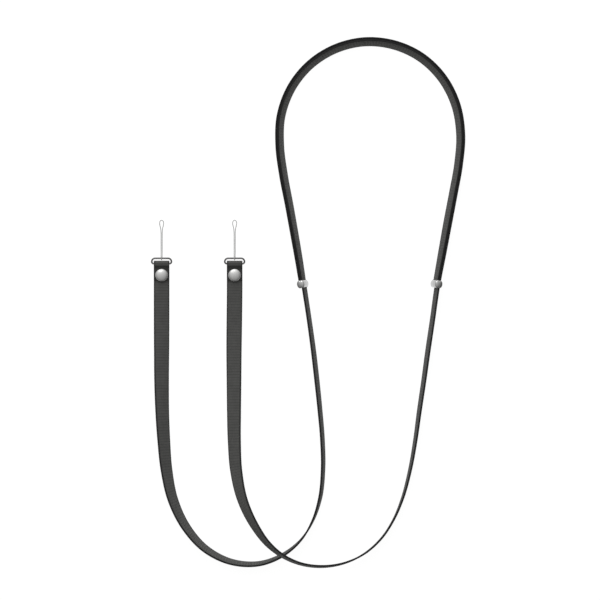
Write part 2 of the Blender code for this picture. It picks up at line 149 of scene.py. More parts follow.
# The doubled stretch over the top, between the sliders: its middle line
DOUBLED_LOOP = rows(
    "slider",
    (0.482, 0.535, 104, 1.00),
    (0.472, 0.573, 106, 0.70),
    (0.456, 0.628, 108, 0.18),
    (0.439, 0.684, 109, 0.00),
    (0.421, 0.740, 110, 0.00),
    (0.409, 0.796, 110, 0.00),
    (0.413, 0.852, 110, 0.00),
    (0.446, 0.905, 111, 0.00),
    (0.506, 0.949, 111, 0.00),
    (0.587, 0.979, 111, 0.00),
    (0.680, 0.992, 111, 0.00),
    (0.774, 0.986, 112, 0.00),
    (0.861, 0.962, 113, 0.00),
    (0.929, 0.922, 113, 0.00),
    (0.971, 0.872, 112, 0.00),
    (0.986, 0.816, 111, 0.00),
    (0.979, 0.760, 110, 0.00),
    (0.962, 0.704, 110, 0.00),
    (0.944, 0.648, 110, 0.12),
    (0.927, 0.593, 108, 0.55),
    (0.909, 0.535, 105, 1.00),
)

CROSSING_ROW = LEFT_LEG[13]

# The cord loop's route from the middle of the ring's upper bar: x across, y away from the strap, z up.
# Beyond the ring both strands lie on the surface, as far as the open end, and mirror each other.
CORD_FLOOR = -0.00295
CORD_FAR_SIDE = [
    (-0.00044, 0.01000), (-0.00046, 0.01400), (-0.00046, 0.01800), (-0.00050, 0.02150),
    (-0.00080, 0.02450), (-0.00140, 0.02700), (-0.00165, 0.02900), (-0.00115, 0.03065),
]
CORD_ROUTE = [
    (0.00000, -0.00132, 0.00010),
    (-0.00008, -0.00110, 0.00082),
    (-0.00022, -0.00040, 0.00128),
    (-0.00036, 0.00060, 0.00128),
    (-0.00042, 0.00200, 0.00062),
    (-0.00044, 0.00400, -0.00070),
    (-0.00044, 0.00650, -0.00205),
    *((x, y, CORD_FLOOR) for x, y in CORD_FAR_SIDE),
    (0.00000, 0.03130, CORD_FLOOR),
    *((-x, y, CORD_FLOOR) for x, y in reversed(CORD_FAR_SIDE)),
    (0.00044, 0.00650, -0.00290),
    (0.00042, 0.00400, -0.00250),
    (0.00040, 0.00200, -0.00190),
    (0.00034, 0.00060, -0.00140),
    (0.00022, -0.00045, -0.00128),
    (0.00008, -0.00112, -0.00082),
    (0.00000, -0.00132, -0.00022),
]

SIDES = ("left", "right")
UP = Vector((0, 0, 1))

# The weave: depth of the valleys, as shares, at each hundredth of a cell of two ribs that has an edge
VALLEYS = {0: 1.0, 15: 0.0, 35: 0.0, 50: 1.0, 65: 0.25, 85: 0.25, 100: 1.0}
GROOVE_HALF = 0.0002
YARN_WIDTH = 0.00042

# How far in the long edges' painted shade reaches, how softly it ends, and how softly the painted shade on
# the flap ends
EDGE_SHADE_BAND = 0.0004
EDGE_SHADE_BLUR = 0.0002
FLAP_SHADE_BLUR = 0.0008

# Steel: its colour's setting, its roughness and how far that varies, and its hairlines' length and depth
Finish = namedtuple("Finish", "colour roughness spread stretch relief")
STEELS = {
    "polished steel": Finish("polished_colour", 0.16, 0.05, 3.0, 0.10),
    # The ring's steel is the polished steel painted darker: painted shade for the dim reflections that it
    # shows.
    "dark polished steel": Finish("ring_colour", 0.20, 0.05, 3.0, 0.10),
    "satin steel": Finish("satin_colour", 0.34, 0.06, 14.0, 0.45),
}

# Light from all round: the way it is brightest, its levels from the far side to there, what the camera
# sees of it, and how it falls off to the sides
BRIGHT_WAY = (-0.15, 0.79, 0.59)
SKY_LEVELS = [(0.1, 0.05), (0.32, 0.07), (0.57, 0.18), (0.80, 0.34), (0.94, 0.58), (1.0, 0.7)]
SKY_SEEN = (0.42, 0.42, 0.42, 1)
SIDE_MIDDLE, SIDE_FALL = 0.12, 0.5
KEY_PLACE = Vector((-0.35, 0.95, 1.3))
KEY_SIZE = 0.6


def colour_property(name, description, default):
    return FloatVectorProperty(name=name, description=description, subtype="COLOR", size=3,
                               min=0, max=1, default=default)


def length_property(name, description, default):
    return FloatProperty(name=name, description=description, unit="LENGTH", min=0, default=default,
                         precision=5)


class STRAP_PG_webbing(bpy.types.PropertyGroup):
    laid_width: length_property("Laid width", "Width of the box that the routes are shares of", 0.2575)
    laid_length: length_property("Laid length", "Length of the box that the routes are shares of", 0.4351)
    width: length_property("Width", "Width of the webbing", 0.0128)
    thickness: length_property("Thickness", "Thickness of the webbing", 0.0015)
    edge_round: length_property("Edge rounding", "Radius of the webbing's long edges", 0.00045)
    gap: length_property("Gap", "Clear space between neighbouring pieces", 0.0003)
    rib_pitch: length_property("Rib pitch", "Distance from one crosswise rib to the next", 0.00115)
    rib_depth: length_property("Rib depth", "Depth of the valley between two ribs", 0.00010)
    border: length_property("Border", "Width of the plain woven border along each edge", 0.0011)
    groove: length_property("Groove", "Depth of the groove beside the border", 0.00012)
    fold_run: length_property("Fold run", "Distance over which the flap rises to the fold", 0.0042)
    flap_tail: length_property("Flap tail", "Distance from the snap's middle to the flap's end", 0.0041)
    # The flap and the fold's falling slope are darkened in colour as painted shade.
    flap_shade_reach: length_property("Flap reach", "Length of the darker back that the flap shows", 0.0129)
    field_colour: colour_property("Field colour", "Colour of the ribbed field", (0.084, 0.084, 0.081))
    border_colour: colour_property("Border colour", "Colour of the borders", (0.050, 0.050, 0.049))
    # The long edges' colour is painted shade: darker than the field so that the edge-on strips read as
    # shaded.
    edge_shade_colour: colour_property("Edge colour", "Colour of the long edges", (0.020, 0.020, 0.020))


class STRAP_PG_fittings(bpy.types.PropertyGroup):
    ring_wire: length_property("Ring wire", "Diameter of the ring's wire", 0.0014)
    ring_side_play: length_property("Ring side play", "Room beside the webbing in the ring", 0.0010)
    snap_back_diameter: length_property("Snap back diameter", "Diameter of the snap's back disc", 0.0078)
    snap_back_thickness: length_property("Snap back thickness", "Thickness of that disc", 0.0006)
    snap_post: length_property("Snap post", "Diameter of the snap's post", 0.0030)
    snap_rim: length_property("Snap rim", "Height of the dome's upright rim", 0.0005)
    slider_wall: length_property("Slider wall", "Thickness of the slider's walls", 0.0012)
    slider_length: length_property("Slider length", "Length of the slider along the webbing", 0.0065)
    slider_crown: length_property("Slider crown", "Rise of the slider's domed ends", 0.0010)
    crown_steps: IntProperty(
        name="Crown steps", description="Rings of faces on a domed end", min=2, default=12)
    polished_colour: colour_property("Polished colour", "Colour of the polished steel", (0.42, 0.42, 0.415))
    # Painted shade: the ring's steel colour is darker than the polished colour to stand in for its dim
    # reflections.
    ring_colour: colour_property("Ring colour", "Colour of the ring's darker steel", (0.15, 0.15, 0.149))
    satin_colour: colour_property("Satin colour", "Colour of the satin steel", (0.54, 0.54, 0.533))


class STRAP_PG_cord(bpy.types.PropertyGroup):
    diameter: length_property("Diameter", "Diameter of the cord", 0.00065)
    points: IntProperty(name="Points", description="Points along each cord loop", min=20, default=220)
    colour: colour_property("Colour", "Colour of the cord", (0.40, 0.40, 0.395))


class STRAP_PG_stage(bpy.types.PropertyGroup):
    view_width: length_property("View width", "Width that the camera sees at the strap's height", 0.4926)
    camera_height: length_property("Camera height", "Height of the camera over the strap", 12.0)
    sensor: FloatProperty(
        name="Sensor", description="Width of the camera's sensor in millimetres", default=36)
    look_x: FloatProperty(name="Look at X", description="X of the middle of the view", default=-0.00658)
    look_y: FloatProperty(name="Look at Y", description="Y of the middle of the view", default=0.00213)
    floor_size: length_property("Floor size", "Width of the floor", 60)
    floor_glow: FloatProperty(
        name="Floor glow", description="Light that the floor gives itself", default=0.95)
    sky: FloatProperty(name="Sky", description="Strength of the light from all round", default=2.5)
    key: FloatProperty(
        name="Key", description="Power of the soft light above the strap, in watts", default=3.0)
    floor_colour: colour_property("Floor colour", "Colour of the floor", (0.10, 0.10, 0.10))


def settings(name):
    return getattr(bpy.context.scene, "strap_" + name)


def ring_middle(side):
    """Middle of the ring's lower bar, which the fold of the webbing goes round."""
    low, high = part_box("ring_" + side)
    middle = (low + high) / 2
    middle.y = low.y + settings("fittings").ring_wire / 2
    return middle


def snap_middle(side):
    low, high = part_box("snap_" + side)
    return (low + high) / 2


class Layout:
    """Sizes and heights of the laid webbing that follow from its settings and from the frame."""

    def __init__(self):
        webbing, fittings = settings("webbing"), settings("fittings")
        self.width, self.thickness, self.gap = webbing.width, webbing.thickness, webbing.gap
        self.fold_run, self.flap_tail = webbing.fold_run, webbing.flap_tail
        self.pitch = self.thickness + self.gap
        self.fold_radius = fittings.ring_wire / 2 + self.gap + self.thickness / 2
        self.snap_lift = fittings.snap_back_thickness + self.gap
        self.bar_height = self.snap_lift + self.thickness / 2 + self.fold_radius
        self.flap_height = self.snap_lift + self.thickness / 2 + self.pitch
        self.slider_depth = 2 * fittings.slider_wall + 2 * self.thickness + 3 * self.gap
        self.slider_height = self.width + 2 * self.gap + 2 * fittings.slider_wall
        self.pocket_reach = fittings.slider_length / 2 - fittings.slider_wall
        self.scale = Vector((webbing.laid_width, webbing.laid_length))
        self.corner = Vector((0, 0))
        self.corner = ring_middle("left").xy - self.point(LEFT_LEG[0])
        self.lifts = {
            "snap": self.snap_lift,
            "crossing": 2 * self.half_height(CROSSING_ROW.lean) + self.gap,
            "slider": self.slider_lift(DOUBLED_LOOP[0].lean),
        }

    def point(self, row):
        return self.corner + Vector((row.across * self.scale.x, row.along * self.scale.y))

    def lift(self, row):
        return row.raised * self.lifts[row.by]

    def half_height(self, lean):
        """Height of the webbing's middle line over its lowest edge at a lean in degrees."""
        turn = math.radians(lean)
        return (self.width * abs(math.sin(turn)) + self.thickness * abs(math.cos(turn))) / 2

    def slider_lift(self, lean):
        """How far a slider's wall lifts the webbing's lower edge off the surface."""
        turn = math.radians(lean)
        stands = self.slider_height * abs(math.sin(turn)) + self.slider_depth * abs(math.cos(turn))
        return stands / 2 - self.half_height(lean) - self.pitch / 2 * abs(math.cos(turn))


def slopes_of(values, spans):
    """Slope of a smooth curve through the values at each of them."""
    last = len(values) - 1
    steps = [(b - a) / span for a, b, span in zip(values, values[1:], spans)]
    slopes = [steps[0]]
    for index in range(1, last):
        before, after = spans[index - 1], spans[index]
        slopes.append((steps[index - 1] * after + steps[index] * before) / (before + after))
    slopes.append(steps[-1])
    return slopes


def ease(start, end, start_slope, end_slope, span, share):
    """Point at a share of the way along one smooth span between two values."""
    squared, cubed = share ** 2, share ** 3
    return (start * (2 * cubed - 3 * squared + 1) + end * (3 * squared - 2 * cubed)
            + start_slope * span * (cubed - 2 * squared + share) + end_slope * span * (cubed - squared))


def loop_rows(layout, rows, layer):
    """The doubled loop's rows as a strap's own: layer is +1 for the inner one and -1 for the outer."""
    points = [layout.point(row) for row in rows]
    spans = [(b - a).length for a, b in zip(points, points[1:])]
    own = []
    for row, point, slope in zip(rows, points, slopes_of(points, spans)):
        inward = Vector((slope.y, -slope.x)).normalized()
        turn = math.radians(row.lean)
        shift = layer * layout.pitch / 2 * math.sin(turn)
        inner_extra = layout.pitch * abs(math.cos(turn)) if layer > 0 else 0
        own.append((point + inward * shift, row.lean, layout.lift(row) + inner_extra))
    return own


def laid_sections(layout, rows, step):
    """Middle points and leans of the webbing from the ring to its end in the pocket."""
    points = [row[0] for row in rows]
    leans = [row[1] for row in rows]
    lifts = [row[2] for row in rows]
    spans = [(b - a).length for a, b in zip(points, points[1:])]
    slopes = [slopes_of(values, spans) for values in (points, leans, lifts)]
    sections = []
    for index, span in enumerate(spans):
        last = index == len(spans) - 1
        length = layout.pocket_reach - layout.gap if last else span
        count = max(1, round(length / step))
        for number in range(count + 1 if last else count):
            share = number / count * length / span
            point, lean, lift = (
                ease(values[index], values[index + 1], slope[index], slope[index + 1], span, share)
                for values, slope in zip((points, leans, lifts), slopes))
            height = layout.half_height(lean) + max(0, lift)
            sections.append((Vector((point.x, point.y, height)), lean))
    return sections


def folded_sections(layout, side, step):
    """Middle points of the end that is folded back over the ring's lower bar, from its tip."""
    bar = ring_middle(side)
    snap = snap_middle(side)
    rise = layout.bar_height + layout.fold_radius - layout.flap_height
    tip = snap.y - layout.flap_tail
    start = bar.y - layout.fold_run
    flat = max(1, round((start - tip) / step))
    run = max(1, round(layout.fold_run / step))
    turns = max(1, round(math.pi * layout.fold_radius / step))
    points = []
    for number in range(flat):
        points.append(Vector((bar.x, tip + (start - tip) * number / flat, layout.flap_height)))
    for number in range(run):
        share = number / run
        height = layout.flap_height + rise * (3 * share ** 2 - 2 * share ** 3)
        points.append(Vector((bar.x, start + layout.fold_run * share, height)))
    for number in range(turns):
        turn = math.pi * number / turns
        points.append(Vector((bar.x, bar.y + layout.fold_radius * math.sin(turn),
                              layout.bar_height + layout.fold_radius * math.cos(turn))))
    return [(point, 0) for point in points]


Route = namedtuple("Route", "distance middle width face")


def webbing_route(layout, side, leg, loop, rising_edge):
    """The laid webbing's middle line with the way across it and the way out of its face.

    rising_edge is +1 where the webbing's right-hand edge rises, and -1 for the left.
    """
    step = settings("webbing").rib_pitch / 2
    rows = [(layout.point(row), row.lean, layout.lift(row)) for row in leg] + loop
    rows.append((2 * rows[-1][0] - rows[-2][0], rows[-1][1], rows[-1][2]))
    folded = folded_sections(layout, side, step / 2)
    sections = folded + laid_sections(layout, rows, step)
    distance, middle, widths, faces = [0.0], [], [], []
    for index, (point, lean) in enumerate(sections):
        before = sections[max(index - 1, 0)][0]
        after = sections[min(index + 1, len(sections) - 1)][0]
        onward = (after - before).normalized()
        right = Vector((-1, 0, 0)) if index <= len(folded) else onward.cross(UP).normalized()
        turn = math.radians(lean)
        width = right * math.cos(turn) + UP * math.sin(turn) * rising_edge
        width = (width - onward * width.dot(onward)).normalized()
        if index:
            distance.append(distance[-1] + (point - sections[index - 1][0]).length)
        middle.append(point)
        widths.append(width)
        faces.append(width.cross(onward))
    return Route(np.array(distance), np.array(middle), np.array(widths), np.array(faces))


def deselect_all():
    bpy.ops.object.select_all(action="DESELECT")


def make_active(obj):
    deselect_all()
    obj.select_set(True)
    bpy.context.view_layer.objects.active = obj


def rename(obj, name):
    obj.name = name
    obj.data.name = name
    return obj


def choose(obj, domain, test):
    """Selects, in edit mode, the vertices, edges or faces whose middle passes the test."""
    bpy.ops.mesh.select_all(action="DESELECT")
    kinds = {"verts": "VERT", "edges": "EDGE", "faces": "FACE"}
    bpy.ops.mesh.select_mode(type=kinds[domain])
    bm = bmesh.from_edit_mesh(obj.data)
    for item in getattr(bm, domain):
        if domain == "verts":
            middle = item.co
        else:
            middle = sum((vert.co for vert in item.verts), Vector()) / len(item.verts)
        item.select_set(test(middle))
    bm.select_flush_mode()
    bmesh.update_edit_mesh(obj.data)


def apply_modifier(obj, modifier):
    bpy.context.view_layer.objects.active = obj
    bpy.ops.object.modifier_apply(modifier=modifier.name)


def cut_with(obj, cutter, solver="EXACT"):
    """Takes a cutter away from a piece and removes the cutter."""
    modifier = obj.modifiers.new("cut", "BOOLEAN")
    modifier.operation = "DIFFERENCE"
    modifier.solver = solver
    modifier.object = cutter
    apply_modifier(obj, modifier)
    bpy.data.objects.remove(cutter)


def finish_piece(obj, material, slot, *nodes):
    """Gives a piece its material, hides the frame's parts that it stands for and hangs it from the root."""
    obj.data.materials.clear()
    obj.data.materials.append(material)
    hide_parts(*nodes)
    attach(obj, "root")
    return obj


class Wiring:
    """A material's or a group's node tree, with short ways to add nodes and join them."""

    def __init__(self, tree):
        self.tree = tree
        self.column = 0

    def add(self, kind, inputs=None, **values):
        node = self.tree.nodes.new(kind)
        node.location = (self.column * 190, -120 * (len(self.tree.nodes) % 4))
        self.column += 1
        for name, value in values.items():
            setattr(node, name, value)
        for name, value in (inputs or {}).items():
            self.join(value, node.inputs[name])
        return node

    def join(self, value, socket):
        if isinstance(value, bpy.types.NodeSocket):
            self.tree.links.new(value, socket)
        else:
            socket.default_value = value

    def maths(self, operation, first, second=0.0):
        return self.add("ShaderNodeMath", {0: first, 1: second}, operation=operation).outputs[0]

    def between(self, value, low, high):
        """0 below the low mark, 1 above the high one, and a straight rise between them."""
        return self.add("ShaderNodeMapRange", {0: value, 1: low, 2: high}).outputs[0]

    def bump(self, shader, strength, distance, height):
        node = self.add("ShaderNodeBump", {"Strength": strength, "Distance": distance, "Height": height})
        self.join(node.outputs["Normal"], shader.inputs["Normal"])

    def tinted(self, colour, shade):
        return self.blend(1.0, (*colour, 1), shade, "MULTIPLY")

    def ramp(self, factor, stops):
        node = self.add("ShaderNodeValToRGB", {"Fac": factor})
        marks = node.color_ramp.elements
        while len(marks) < len(stops):
            marks.new(0.5)
        for mark, (place, level) in zip(marks, stops):
            mark.position = place
            mark.color = (level, level, level, 1)
        return node.outputs["Color"]

    def blend(self, factor, first, second, mode="MIX"):
        node = self.add("ShaderNodeMix", data_type="RGBA", blend_type=mode)
        self.join(factor, node.inputs["Factor"])
        self.join(first, node.inputs["A"])
        self.join(second, node.inputs["B"])
        return node.outputs["Result"]


def new_material(name):
    """A material with an empty Principled shader: its wiring, the shader and the material."""
    material = bpy.data.materials.new(name)
    material.use_nodes = True
    shader = material.node_tree.nodes["Principled BSDF"]
    return material, Wiring(material.node_tree), shader


def new_group(name, inputs, outputs):
    """A shader node group: the group, its wiring, its input sockets and its output node."""
    group = bpy.data.node_groups.new(name, "ShaderNodeTree")
    for title, kind, default in inputs:
        socket = group.interface.new_socket(title, in_out="INPUT", socket_type=kind)
        if default is not None:
            socket.default_value = default
    for title, kind in outputs:
        group.interface.new_socket(title, in_out="OUTPUT", socket_type=kind)
    wiring = Wiring(group)
    entry = wiring.add("NodeGroupInput")
    leave = wiring.add("NodeGroupOutput")
    return group, wiring, entry.outputs, leave


def yarn_group():
    """Twisted yarns lying along one way, with uneven colour and painted shade between the yarns: for the
    webbing and the cord.
    """
    group, wiring, given, leave = new_group(
        "yarn",
        [("Vector", "NodeSocketVector", None), ("Yarns", "NodeSocketFloat", 1.0),
         ("Twist", "NodeSocketFloat", 1.0), ("Fuzz", "NodeSocketFloat", 0.3)],
        [("Height", "NodeSocketFloat"), ("Shade", "NodeSocketFloat")])
    parts = wiring.add("ShaderNodeSeparateXYZ", {0: given["Vector"]})
    along = wiring.maths("MULTIPLY", parts.outputs["X"], given["Twist"])
    across = wiring.maths("MULTIPLY", parts.outputs["Y"], given["Yarns"])
    slanted = wiring.maths("ADD", along, across)
    wave = wiring.maths("ABSOLUTE", wiring.maths("SINE", slanted))
    fine = wiring.add("ShaderNodeTexNoise",
                      {"Vector": given["Vector"], "Scale": 5200.0, "Detail": 3.0, "Roughness": 0.6})
    fibres = wiring.maths("MULTIPLY", fine.outputs["Fac"], given["Fuzz"])
    height = wiring.maths("ADD", wave, fibres)
    broad = wiring.add("ShaderNodeTexNoise", {"Vector": given["Vector"], "Scale": 160.0, "Detail": 4.0})
    patches = wiring.maths("MULTIPLY", broad.outputs["Fac"], 0.5)
    # The Shade output is uneven tone in broad patches plus painted shade that follows the yarns' ridges.
    shade = wiring.maths("ADD", wiring.maths("MULTIPLY", wave, 0.5), patches)
    wiring.join(height, leave.inputs["Height"])
    wiring.join(shade, leave.inputs["Shade"])
    return group


def handling_group():
    """Fine marks of handling on steel: a mask of smudges and the height of hairline scratches."""
    group, wiring, given, leave = new_group(
        "handling marks",
        [("Vector", "NodeSocketVector", None), ("Stretch", "NodeSocketFloat", 8.0)],
        [("Smudge", "NodeSocketFloat"), ("Scratch", "NodeSocketFloat")])
    broad = wiring.add("ShaderNodeTexNoise", {"Vector": given["Vector"], "Scale": 420.0, "Detail": 3.0})
    parts = wiring.add("ShaderNodeSeparateXYZ", {0: given["Vector"]})
    drawn = wiring.maths("DIVIDE", parts.outputs["Y"], given["Stretch"])
    joined = wiring.add("ShaderNodeCombineXYZ", {0: parts.outputs["X"], 1: drawn, 2: parts.outputs["Z"]})
    hair = wiring.add("ShaderNodeTexNoise",
                      {"Vector": joined.outputs[0], "Scale": 9000.0, "Detail": 2.0, "Roughness": 0.7})
    wiring.join(broad.outputs["Fac"], leave.inputs["Smudge"])
    wiring.join(hair.outputs["Fac"], leave.inputs["Scratch"])
    return group


def shared_group(name, maker):
    return bpy.data.node_groups.get(name) or maker()


def webbing_material():
    """Charcoal webbing read on the straight webbing: a ribbed field, plain borders, and painted shade in
    the rib valleys, on the long edges and on the flap.
    """
    webbing = settings("webbing")
    material, wiring, shader = new_material("charcoal webbing")
    place = wiring.add("ShaderNodeAttribute", attribute_name="straight").outputs["Vector"]
    parts = wiring.add("ShaderNodeSeparateXYZ", {0: place})
    edge = wiring.maths("ABSOLUTE", parts.outputs["Y"])
    inner = webbing.width / 2 - webbing.border
    in_border = wiring.between(edge, inner - GROOVE_HALF, inner + GROOVE_HALF / 2)
    # Painted shade: the outermost band of each long edge is coloured darker.
    outer = webbing.width / 2 - EDGE_SHADE_BAND
    in_edge_shade = wiring.between(edge, outer - EDGE_SHADE_BLUR, outer + EDGE_SHADE_BLUR)
    # Painted shade on the ribs: the valleys are coloured darker and the crowns lighter, in step with the
    # sunk geometry.
    rib_shade = []
    for pitch in (webbing.rib_pitch, 2 * webbing.rib_pitch):
        turn = wiring.maths("MULTIPLY", parts.outputs["X"], 2 * math.pi / pitch)
        rib_shade.append(wiring.maths("MULTIPLY", wiring.maths("COSINE", turn), -0.15))
    yarn = wiring.add("ShaderNodeGroup", {})
    yarn.node_tree = shared_group("yarn", yarn_group)
    wiring.join(place, yarn.inputs["Vector"])
    yarn.inputs["Yarns"].default_value = math.pi / YARN_WIDTH
    yarn.inputs["Twist"].default_value = math.pi / webbing.rib_pitch
    yarn.inputs["Fuzz"].default_value = 0.5
    weave = wiring.maths("ADD", wiring.maths("ADD", *rib_shade), yarn.outputs["Shade"])
    shaded_weave = wiring.ramp(weave, [(0.0, 0.62), (1.0, 1.30)])
    plain = wiring.ramp(yarn.outputs["Shade"], [(0.15, 0.80), (0.85, 1.15)])
    field, border = wiring.tinted(webbing.field_colour, shaded_weave), wiring.tinted(webbing.border_colour, plain)
    edge_shade_tint = wiring.tinted(webbing.edge_shade_colour, plain)
    colour = wiring.blend(in_edge_shade, wiring.blend(in_border, field, border), edge_shade_tint)
    # Painted shade: the flap and the slope up to the fold are darkened to 0.55 of the webbing's colour.
    in_flap_shade = wiring.between(parts.outputs["X"], webbing.flap_shade_reach, webbing.flap_shade_reach - FLAP_SHADE_BLUR)
    shade_darkened = wiring.blend(1.0, colour, (0.55, 0.55, 0.55, 1), "MULTIPLY")
    wiring.join(wiring.blend(in_flap_shade, colour, shade_darkened), shader.inputs["Base Color"])
    wiring.bump(shader, 0.55, 0.00007, yarn.outputs["Height"])
    shader.inputs["Roughness"].default_value = 0.85
    shader.inputs["Specular IOR Level"].default_value = 0.04
    shader.inputs["Sheen Weight"].default_value = 0.03
    shader.inputs["Sheen Roughness"].default_value = 0.5
    return material


def steel(name):
    """The named steel, made once: smudges vary its gloss, and hairlines are drawn along Y."""
    if name in bpy.data.materials:
        return bpy.data.materials[name]
    finish = STEELS[name]
    material, wiring, shader = new_material(name)
    place = wiring.add("ShaderNodeTexCoord").outputs["Object"]
    marks = wiring.add("ShaderNodeGroup", {})
    marks.node_tree = shared_group("handling marks", handling_group)
    wiring.join(place, marks.inputs["Vector"])
    marks.inputs["Stretch"].default_value = finish.stretch
    shader.inputs["Metallic"].default_value = 1.0
    least, most = finish.roughness - finish.spread, finish.roughness + finish.spread
    gloss = wiring.add("ShaderNodeMapRange",
                       {0: marks.outputs["Smudge"], 1: 0.3, 2: 0.7, 3: least, 4: most})
    wiring.join(gloss.outputs[0], shader.inputs["Roughness"])
    streak = wiring.ramp(marks.outputs["Scratch"], [(0.3, 0.86), (0.7, 1.06)])
    colour = getattr(settings("fittings"), finish.colour)
    wiring.join(wiring.tinted(colour, streak), shader.inputs["Base Color"])
    wiring.bump(shader, finish.relief, 0.00002, marks.outputs["Scratch"])
    return material


def cord_material():
    """Light grey braid, read from the cord's distance along and turn round, with painted shade between its
    strands.
    """
    cord = settings("cord")
    material, wiring, shader = new_material("light grey cord")
    place = wiring.add("ShaderNodeAttribute", attribute_name="braid").outputs["Vector"]
    flipped = wiring.add("ShaderNodeMapping", {"Vector": place, "Scale": (1, -1, 1)})
    strands = []
    for source in (place, flipped.outputs["Vector"]):
        yarn = wiring.add("ShaderNodeGroup", {})
        yarn.node_tree = shared_group("yarn", yarn_group)
        wiring.join(source, yarn.inputs["Vector"])
        yarn.inputs["Twist"].default_value = math.pi / cord.diameter
        yarn.inputs["Yarns"].default_value = 4 / cord.diameter
        yarn.inputs["Fuzz"].default_value = 0.25
        strands.append(yarn.outputs["Height"])
    weave = wiring.maths("MAXIMUM", *strands)
    # Painted shade in the braid: colour follows the strands' height, darker in the hollows between them.
    shaded_weave = wiring.ramp(wiring.maths("MULTIPLY", weave, 0.8), [(0.2, 0.72), (0.9, 1.08)])
    wiring.join(wiring.tinted(cord.colour, shaded_weave), shader.inputs["Base Color"])
    wiring.bump(shader, 0.6, 0.00006, weave)
    shader.inputs["Roughness"].default_value = 0.65
    shader.inputs["Sheen Weight"].default_value = 0.15
    return material


class STRAP_OT_stage(bpy.types.Operator):
    """Makes the pale floor, the soft lights and the camera straight above the strap"""

    bl_idname = "strap.stage"
    bl_label = "Stage"

    def execute(self, context):
        stage = settings("stage")
        target = Vector((stage.look_x, stage.look_y, cad_box[1].z / 3))
        self.make_floor(stage)
        self.make_world(context, stage)
        self.make_key_light(stage, target)
        bpy.ops.object.camera_add(location=target + UP * stage.camera_height, rotation=(0, 0, 0))
        camera = rename(context.object, "top_camera")
        camera.data.sensor_width = stage.sensor
        camera.data.lens = stage.sensor * stage.camera_height / stage.view_width
        camera.data.clip_start = 0.05
        context.scene.camera = camera
        context.scene.view_settings.view_transform = "Standard"
        return {"FINISHED"}

    def make_floor(self, stage):
        deselect_all()
        bpy.ops.mesh.primitive_plane_add(size=stage.floor_size)
        floor = rename(bpy.context.object, "floor")
        material, wiring, shader = new_material("pale floor")
        shader.inputs["Base Color"].default_value = (*stage.floor_colour, 1)
        shader.inputs["Roughness"].default_value = 0.9
        shader.inputs["Emission Color"].default_value = (1, 1, 1, 1)
        shader.inputs["Emission Strength"].default_value = stage.floor_glow
        floor.data.materials.append(material)

    def make_world(self, context, stage):
        """Light from all round, brightest beyond the top left of the strap and dim on the near side."""
        world = bpy.data.worlds.new("soft room")
        world.use_nodes = True
        wiring = Wiring(world.node_tree)
        ground = world.node_tree.nodes["Background"]
        way = wiring.add("ShaderNodeTexCoord").outputs["Generated"]
        toward = wiring.add("ShaderNodeVectorMath", {0: way, 1: BRIGHT_WAY}, operation="DOT_PRODUCT")
        sideways = wiring.add("ShaderNodeSeparateXYZ", {0: way}).outputs["X"]
        sideways = wiring.maths("ADD", sideways, SIDE_MIDDLE)
        drop = wiring.maths("MULTIPLY", wiring.maths("MULTIPLY", sideways, sideways), SIDE_FALL)
        share = wiring.maths("SUBTRACT", toward.outputs["Value"], drop)
        share = wiring.maths("MULTIPLY", wiring.maths("ADD", share, 1.0), 0.5)
        level = wiring.ramp(share, SKY_LEVELS)
        seen = wiring.add("ShaderNodeLightPath").outputs["Is Camera Ray"]
        wiring.join(wiring.blend(seen, level, SKY_SEEN), ground.inputs["Color"])
        ground.inputs["Strength"].default_value = stage.sky
        context.scene.world = world

    def make_key_light(self, stage, target):
        """A broad soft light beyond the top of the strap."""
        turn = (target - KEY_PLACE).to_track_quat("-Z", "Y").to_euler()
        bpy.ops.object.light_add(type="AREA", location=KEY_PLACE, rotation=turn)
        light = rename(bpy.context.object, "soft_key")
        light.data.shape = "DISK"
        light.data.size = KEY_SIZE
        light.data.energy = stage.key


